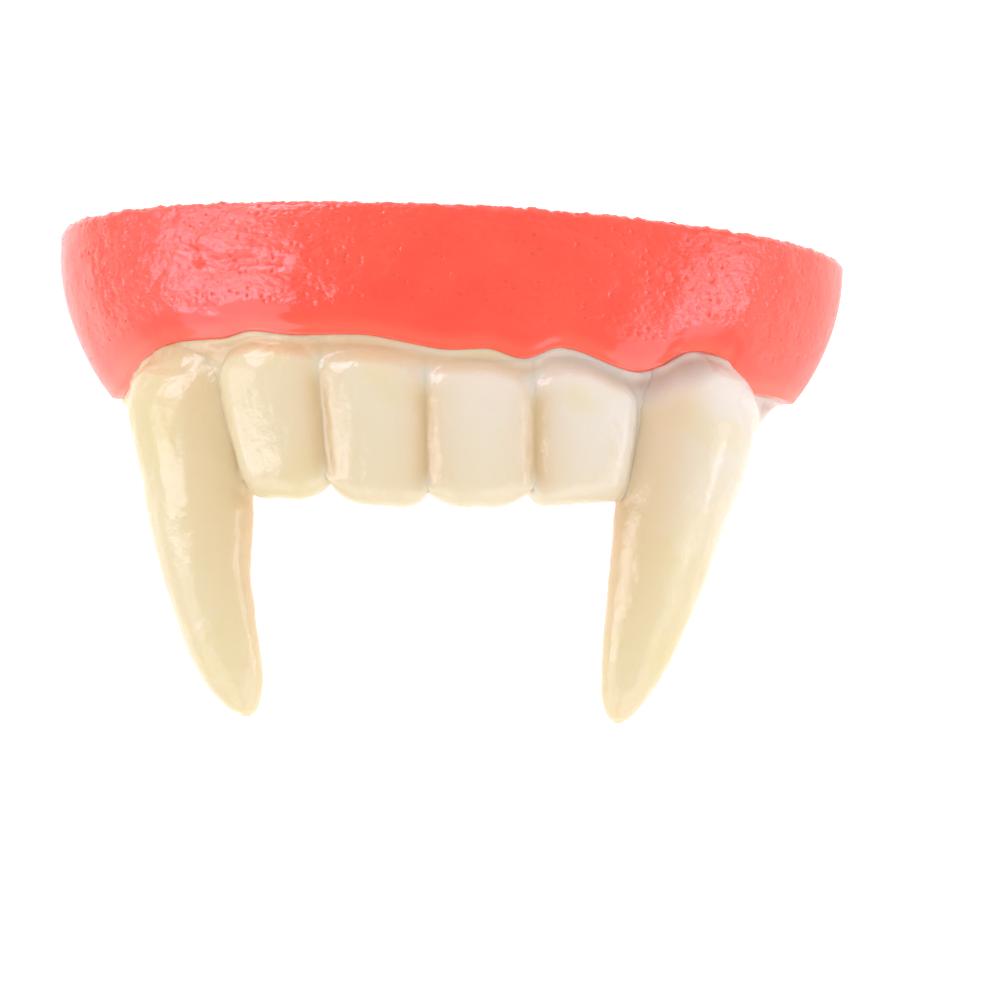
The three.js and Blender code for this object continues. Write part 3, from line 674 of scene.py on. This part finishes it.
def makeBar():
    share = np.linspace(1, -1, bar["stations"])[:, None]
    margin = marginBelow(share)
    across = acrossAt(share)
    top = margin - gum["lipOverlap"] + 0.1
    low = readTable(bar["lowEdge"], 1, across)
    lean = bar["sideLean"] * sideness(share)
    radius = bar["edgeRound"]
    t = np.linspace(0, 1, bar["frontRows"])[None, :]
    below = top + (low - radius - top) * t
    (start, end), fade = bar["crownSpan"], bar["crownFade"]
    inCrowns = smoothStep(start, start + fade, across) * smoothStep(end, end - fade, across)
    sunk = bar["crownSunk"] * inCrowns * smoothStep(0.0, 0.9, below - readTable(bar["crownStart"], 1, across))
    first, second = bar["gapDepths"]
    for upper, lower, half in bar["gaps"]:
        middle = upper + (lower - upper) * (below - first) / (second - first)
        inGap = smoothStep(half, 0.2, np.abs(across - middle))
        sunk = sunk + bar["gapSunk"] * inGap * smoothStep(0.8, 3.0, below - margin)
    front = barInset(share) - webStand(share, below) + lean * t + sunk
    turn = np.linspace(0, math.pi / 2, bar["roundRows"])[None, 1:]
    under = low - radius + radius * np.sin(turn)
    underFront = archPoint(share, front[:, -1:] + radius * (1 - np.cos(turn)), under)
    back = barInset(share) + bar["thickness"] + lean
    underBack = archPoint(share, back - radius * (1 - np.cos(turn[:, ::-1])), under[:, ::-1])
    t = np.linspace(0, 1, bar["backRows"])[None, :]
    behind = archPoint(share, back - lean * t, low - radius + (top + 0.3 - low + radius) * t)
    grid = np.concatenate([archPoint(share, front, below), underFront, underBack, behind], 1)
    collar, groove = np.zeros(grid.shape[:2]), np.zeros(grid.shape[:2])
    count = below.shape[1]
    # painted shade and painted red bounce under the lip, and painted shade on the web below it
    collar[:, :count] = collarTint(grid[:, :count, 0], below - margin)
    groove[:, :count] = bar["webShade"] * smoothStep(1.0, 3.5, below - margin)
    skin = smoothStep(0.2, 1.0, grid[..., 2])  # no relief on the flat heels
    return creamPiece("tooth_bar", grid, skin, groove, collar, "flat")


toothPieces["tooth_bar"] = makeBar()
print("tooth bar made")


# Incisors: crowns that run from groove to groove and grow out of the collar without an edge

incisor = {
    "columns": 120, "frontRows": 80, "backRows": 16, "topAbove": 0.6, "topSunk": 0.12,
    "backSunk": 0.7, "middle": 0.5, "lowRound": 1.25, "outerRound": 1.5, "overlap": 0.15, "overlapSunk": 8,
    "grooveWidth": (0.62, 1.7), "neckRise": (0.8, 2.2), "bulge": 0.22,
    # crown: share of the length, how far it stands before the seat
    "crown": [(0, 1.9), (0.12, 2.13), (0.3, 2.35), (0.45, 2.4), (0.7, 2.38), (0.86, 2.2), (1, 1.85)],
    # how much later the crown rises out of the collar at its left and right
    "shoulders": {"incisor_1": (1.5, 1.2), "incisor_2": (0.8, 1.1), "incisor_3": (0.9, 1.1),
                  "incisor_4": (1.0, 0.5)},
    "shoulderCurve": 2.2,
    # each tooth: its left and right side as across at the neck and at the edge, the edge's height at both,
    # where the outline starts at both sides, the width and roundness of the low corners, the bow, and which
    # sides are free
    "neckAt": 9.6, "edgeAt": 19.4,
    "teeth": {
        "incisor_1": (
            (-14.0, -11.05), (-6.9, -5.65), (19.5, 19.7), (18.5, 17.8),
            (1.0, 2.3), (2.0, 1.5), 0.0, "left"),
        "incisor_2": (
            (-6.9, -5.65), (-0.35, 0.25), (19.75, 19.85), (17.8, 18.5),
            (2.2, 1.7), (2.0, 2.0), 0.05, ""),
        "incisor_3": (
            (-0.35, 0.25), (6.3, 6.7), (19.7, 19.4), (18.5, 18.05),
            (2.3, 2.5), (1.8, 1.6), 0.12, ""),
        "incisor_4": (
            (6.3, 6.7), (13.3, 12.35), (19.45, 18.6), (18.05, 17.9),
            (1.0, 0.7), (1.8, 2.0), 0.0, "right")},
}


def roundedPart(away, radius, power=2.0):  # 0 at an edge, 1 once past its radius
    t = 1 - np.clip(away / radius, 0, 1)
    return (1 - t ** power) ** (1 / power)


def softRise(away, widths):  # 0 in a valley, rising over a narrow and a wide distance
    near, far = widths
    return 1 - 0.6 * np.exp(-(away / near) ** 2) - 0.4 * np.exp(-(away / far) ** 2)


def makeIncisor(name):
    left, right, edge, notch, width, power, bow, free = incisor["teeth"][name]
    u = (0.5 - 0.5 * np.cos(np.linspace(0, math.pi, incisor["columns"])))[:, None]
    span = right[1] - left[1]
    # low outline of each column
    low = edge[0] + (edge[1] - edge[0]) * u + bow * (1 - (2 * u - 1) ** 2)
    low = low - (edge[0] - notch[0]) * (1 - roundedPart(u * span, width[0], power[0]))
    low = low - (edge[1] - notch[1]) * (1 - roundedPart((1 - u) * span, width[1], power[1]))
    start = readTable(bar["crownStart"], 1, left[0] + (right[0] - left[0]) * u)

    def surface(rows, front):
        below = start - incisor["topAbove"] + (low - start + incisor["topAbove"]) * rows
        slide = (below - incisor["neckAt"]) / (incisor["edgeAt"] - incisor["neckAt"])
        startX = left[0] + (left[1] - left[0]) * slide
        endX = right[0] + (right[1] - right[0]) * slide
        reach = incisor["overlap"]
        first = startX - (0 if free == "left" else reach)
        across = first + (endX + (0 if free == "right" else reach) - first) * u
        share = shareAt(across)
        fromLeft, fromRight = across - startX, endX - across
        valley = 1.0 + 0 * across
        outer = 1.0 + 0 * across
        past = 0 * across  # how far a column reaches under its neighbour
        for side, away in (("left", fromLeft), ("right", fromRight)):
            if side == free:
                outer = outer * roundedPart(away, incisor["outerRound"])
            else:
                valley = valley * softRise(np.maximum(away, 0), incisor["grooveWidth"])
                past = np.maximum(past, -away)
        fall = below - start
        leftLater, rightLater = incisor["shoulders"][name]
        curve = incisor["shoulderCurve"]
        later = leftLater * np.maximum(1 - 2 * u, 0) ** curve + rightLater * np.maximum(2 * u - 1, 0) ** curve
        rise = softRise(np.maximum(fall - later, 0), incisor["neckRise"])
        rim = roundedPart(low - below, incisor["lowRound"] * (0.35 + 0.65 * valley)) * outer
        if front:
            base = webStand(share, below)
            crown = readTable(incisor["crown"], 1, fall / (low - start)) - incisor["bulge"] * (2 * u - 1) ** 2
            stand = base + (crown - base) * valley * rise - incisor["topSunk"] * smoothStep(0, 0.4, -fall)
            stand = stand - incisor["overlapSunk"] * past ** 2
            stand = incisor["middle"] + (stand - incisor["middle"]) * rim
        else:
            stand = incisor["middle"] - (incisor["middle"] + incisor["backSunk"]) * rim
        # painted shade: tan in the grooves between crowns, then the under-lip painted shade and red bounce
        tan = (1 - valley) * smoothStep(0.2, 2.4, fall - later) * smoothStep(0.2, 1.7, low - below)
        collar = collarTint(across, below - marginBelow(share))
        return archPoint(share, barInset(share) - stand, below), tan, collar

    rows = (0.5 - 0.5 * np.cos(np.linspace(0, math.pi, incisor["frontRows"])))[None, :]
    backRows = np.sin(np.linspace(math.pi / 2, 0, incisor["backRows"] + 1))[None, 1:]
    frontGrid, frontTan, frontCollar = surface(rows, True)
    backGrid, backTan, backCollar = surface(backRows, False)
    grid = np.concatenate([frontGrid, backGrid], 1)
    groove = np.concatenate([frontTan, 0 * backTan], 1)
    collar = np.concatenate([frontCollar, backCollar], 1)
    return creamPiece(name, grid, np.ones(grid.shape[:2]), groove, collar, "flat")


toothPieces.update({name: makeIncisor(name) for name in incisor["teeth"]})
print("incisors made")


# Soft joints: where two cream pieces meet, both swell out to one round corner, which gets painted shade

joint = {
    "steps": 16, "halvings": 6, "reach": 1.15, "smoothing": 5,
    # tan: painted shade in the corner between two pieces, how far from the corner it reaches and where below
    # the margin it begins
    "sink": 0.35 / mm, "tan": 0.4, "tanReach": (1.3, 0.35), "tanDepths": (0.8, 3.0),
    # which pieces meet, the size of the corner between them, and where it begins and is full below the margin
    "pairs": (
        ("tooth_bar", "fang_left", 1.5 * mm, -0.1, 0.6), ("tooth_bar", "fang_right", 1.5 * mm, -0.25, 0.4),
        ("incisor_1", "fang_left", 0.8 * mm, 1.6, 3.2), ("incisor_4", "fang_right", 0.8 * mm, 1.6, 3.2)),
    "heelSide": (-16.5, -20.5), "heelSize": 0.4,  # the corner is smaller towards the left heel
    "lowerSide": (16.6, 18.6), "lower": 0.8,  # and begins lower at the right fang's outer shoulder
}


def signedGap(skin, point):  # distance to a piece's skin, negative inside it
    spot, normal, face, away = skin.find_nearest(point)
    return away if (point - spot).dot(normal) >= 0 else -away


def joinedGap(own, other, size):  # a soft minimum: below zero inside the joined body
    return min(own, other) - max(size - abs(own - other), 0) ** 2 / (4 * size)


def swellOut(point, normal, skin, size):
    # how far a point moves out to the corner, and its gap to the other piece there
    gap = signedGap(skin, point)
    if not -size < gap < size:
        return 0.0, gap
    low, high, midway = 0.0, None, 0.0
    for step in range(1, joint["steps"] + 1):
        high = joint["reach"] * size * step / joint["steps"]
        other = signedGap(skin, point + normal * high)
        if joinedGap(high, other, size) >= 0:
            break
        if high < other:
            midway = (high + other) / 2
        low = high
    else:  # a corner filled right across: the point stops midway between both pieces
        return midway, midway
    for _ in range(joint["halvings"]):
        middle = (low + high) / 2
        inside = joinedGap(middle, signedGap(skin, point + normal * middle), size) < 0
        low, high = (middle, high) if inside else (low, middle)
    return high, signedGap(skin, point + normal * high)


def softJoin():
    skins = {}
    for name, piece in toothPieces.items():
        mesh = piece.data
        skins[name] = BVHTree.FromPolygons([v.co for v in mesh.vertices], [p.vertices for p in mesh.polygons])
    moves, tans = {}, {}
    for name, piece in toothPieces.items():
        count = len(piece.data.vertices)
        moves[name], tans[name] = np.zeros(count), np.zeros(count)
        places = np.array([v.co for v in piece.data.vertices])
        x = (places[:, 0] - rimPlace[0]) / mm
        deep = (rimPlace[1] - places[:, 1]) / mm - marginAt(x)
        deep = deep - joint["lower"] * smoothStep(*joint["lowerSide"], x)
        shaded = smoothStep(*joint["tanDepths"], deep)
        smaller = 1 - (1 - joint["heelSize"]) * smoothStep(*joint["heelSide"], x)
        for first, second, full, begin, end in joint["pairs"]:
            if name not in (first, second):
                continue
            skin = skins[second if name == first else first]
            shown = smoothStep(begin, end, deep)
            for i, vertex in enumerate(piece.data.vertices):
                size = full * float(smaller[i])
                if shown[i] == 0 or skin.find_nearest(vertex.co, 1.5 * size)[0] is None:
                    continue
                out, gap = swellOut(vertex.co, vertex.normal, skin, size)
                # past the middle of the corner the other piece shows
                sunk = joint["sink"] * max(out - gap, 0) ** 2
                moves[name][i] = max(moves[name][i], (out - sunk) * shown[i])
                near = joint["tan"] * shaded[i] * float(smoothStep(*joint["tanReach"], (out + gap) / size))
                tans[name][i] = max(tans[name][i], near)
    for name, piece in toothPieces.items():
        mesh = piece.data
        near, far = np.array([edge.vertices for edge in mesh.edges]).T
        move = moves[name]
        count = np.bincount(near, minlength=len(move)) + np.bincount(far, minlength=len(move))
        for _ in range(joint["smoothing"]):  # evens out the facets of the piece it was measured from
            total = np.bincount(near, move[far], len(move)) + np.bincount(far, move[near], len(move))
            move = (move + total / count) / 2
        places = np.array([v.co + v.normal * m for v, m in zip(mesh.vertices, move)])
        groove = mesh.attributes["groove"].data
        # painted shade: the corner is painted tan
        for i in np.nonzero(tans[name])[0]:
            groove[i].value = max(groove[i].value, tans[name][i])
        mesh.vertices.foreach_set("co", places.reshape(-1))
        mesh.update()


softJoin()
for name, piece in toothPieces.items():
    applyTree(piece, castRelief, toothRelief)
    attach(piece, "root")
    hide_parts(name)
    print(name, "joined:", len(piece.data.polygons), "faces")


# Floor: half its width and the centre of the pool of light painted on it in metres, how far that painted glow
# reaches and where it ends, and its strength inside and outside
floor = {"half": 1.5, "glowCentre": (0.02, -0.003, 0.0), "glowEdge": (58 * mm, 66 * mm), "glow": (0.5, 0.1)}


# Matt white card with a painted pool of light: it glows in a disc under the part, which washes out its shadows
# and lights the part from below; bright, with a faint paper grain
def cardMaterial():
    material, tree = emptyMaterial("floor_matt_white_card")
    place = addNode(tree, "ShaderNodeTexCoord").outputs["Object"]
    grain = addNode(tree, "ShaderNodeTexNoise", None, {"Vector": place, "Scale": 1 / (0.6 * mm), "Detail": 2.0})
    bump = addNode(tree, "ShaderNodeBump", None,
                   {"Height": grain.outputs["Fac"], "Strength": 0.05, "Distance": 0.02 * mm})
    away = addNode(tree, "ShaderNodeVectorMath", {"operation": "DISTANCE"}, {0: place, 1: floor["glowCentre"]})
    (near, far), (inside, outside) = floor["glowEdge"], floor["glow"]
    # painted pool of light: the card glows in a disc round the part
    glow = addNode(tree, "ShaderNodeMapRange", {"interpolation_type": "SMOOTHSTEP"},
                   {"Value": away.outputs["Value"], 1: near, 2: far, 3: inside, 4: outside})
    shader = addNode(tree, "ShaderNodeBsdfPrincipled", None, {
        "Base Color": linearColour("#F6F6F5"), "Roughness": 0.9, "IOR": 1.3, "Normal": bump.outputs["Normal"],
        "Emission Color": linearColour("#FFFFFF"), "Emission Strength": glow.outputs["Result"]})
    addNode(tree, "ShaderNodeOutputMaterial", None, {"Surface": shader.outputs["BSDF"]})
    return material


floorMesh = bpy.data.meshes.new("floor_card")
corners = [(x * floor["half"], y * floor["half"], 0) for x, y in ((-1, -1), (1, -1), (1, 1), (-1, 1))]
floorMesh.from_pydata(corners, [], [(0, 1, 2, 3)])
floorMesh.materials.append(cardMaterial())
floorPiece = bpy.data.objects.new("floor_card", floorMesh)
bpy.context.collection.objects.link(floorPiece)


# Soft studio light: a white room that is brighter towards the horizon, a soft lamp at the left for the
# shapes, and windows at the sides and above and low cards that show in the gloss

lights = {
    "horizon": 1.5, "zenith": 0.95, "leftShade": 0.48, "leftEdge": (-0.98, -0.85),
    "boxes": {  # direction from the part, distance, width and height in metres, brightness, gloss only
        "window_upper": ((-0.9, 0.32, 0.32), 0.6, 0.22, 0.32, 3.6, True),
        "window_lower": ((-0.885, -0.07, 0.46), 0.6, 0.2, 0.52, 5.5, True),
        "window_right": ((0.97, 0.15, 0.15), 0.6, 0.28, 0.36, 2.3, True),
        "glint_right": ((0.97, -0.1, 0.12), 0.6, 0.14, 0.14, 4.2, True),
        "window_top": ((-0.53, 0.8, 0.2), 0.6, 0.26, 0.3, 6.5, True),
        "card_low_left": ((-0.72, -0.65, 0.2), 0.6, 0.8, 0.6, 1.7, True),
        "card_low_right": ((0.66, -0.7, 0.2), 0.6, 0.8, 0.6, 1.5, True),
        "lamp_left": ((-0.7, 0.3, 0.6), 0.7, 0.5, 0.5, 0.4, False)},
    "glossTint": (0.82, 0.79, 1.0),
}
world = bpy.data.worlds.new("white_room")
bpy.context.scene.world = world
world.use_nodes = True
tree = world.node_tree
way = addNode(tree, "ShaderNodeTexCoord").outputs["Generated"]
axes = addNode(tree, "ShaderNodeSeparateXYZ", None, {0: way}).outputs
glow = addNode(tree, "ShaderNodeMapRange", None, {
    "Value": axes["Z"], 1: 0.0, 2: 1.0, 3: lights["horizon"], 4: lights["zenith"]}).outputs["Result"]
shade = addNode(tree, "ShaderNodeMapRange", {"interpolation_type": "SMOOTHSTEP"}, {
    "Value": axes["X"], 1: lights["leftEdge"][0], 2: lights["leftEdge"][1],
    3: lights["leftShade"], 4: 1.0}).outputs["Result"]
glow = addNode(tree, "ShaderNodeMath", {"operation": "MULTIPLY"}, {0: glow, 1: shade}).outputs[0]
tree.nodes["Background"].inputs["Color"].default_value = linearColour("#FBFAFF")
tree.links.new(glow, tree.nodes["Background"].inputs["Strength"])
for name, (way, far, wide, high, bright, glossOnly) in lights["boxes"].items():
    lamp = bpy.data.lights.new(name, "AREA")
    lamp.shape, lamp.size, lamp.size_y = "RECTANGLE", wide, high
    lamp.energy = bright * math.pi * wide * high
    lamp.color = lights["glossTint"] if glossOnly else (1.0, 1.0, 1.0)
    holder = bpy.data.objects.new(name, lamp)
    bpy.context.collection.objects.link(holder)
    holder.visible_diffuse = not glossOnly
    way = Vector(way).normalized()
    holder.location = way * far + Vector((0, 0, 0.01))
    holder.rotation_mode = "QUATERNION"
    holder.rotation_quaternion = (-way).to_track_quat("-Z", "Y")
print("floor and lights made")


# Camera: a long lens, a little from below and from the right, tipped with the part
camera = {
    "target": (5.01, -2.46, 18.0), "back": (0.04467, -0.10976, 0.99295), "distance": 449.5,
    "roll": -2.79, "lens": 248.98,
}
cameraData = bpy.data.cameras.new("product_camera")
cameraData.lens, cameraData.sensor_width = camera["lens"], 36.0
cameraData.clip_start, cameraData.clip_end = 0.01, 20.0
cameraPiece = bpy.data.objects.new("product_camera", cameraData)
bpy.context.collection.objects.link(cameraPiece)
back = Vector(camera["back"]).normalized()
right = Vector((0, 1, 0)).cross(back).normalized()
turned = Matrix.Rotation(math.radians(-camera["roll"]), 3, back)
right = turned @ right
up = back.cross(right)
axes = Matrix((right, up, back)).transposed()
cameraPiece.rotation_mode = "QUATERNION"
cameraPiece.rotation_quaternion = axes.to_quaternion()
cameraPiece.location = Vector(camera["target"]) * mm + back * camera["distance"] * mm
bpy.context.scene.camera = cameraPiece
bpy.context.scene.view_settings.view_transform = "Standard"
print("camera set")
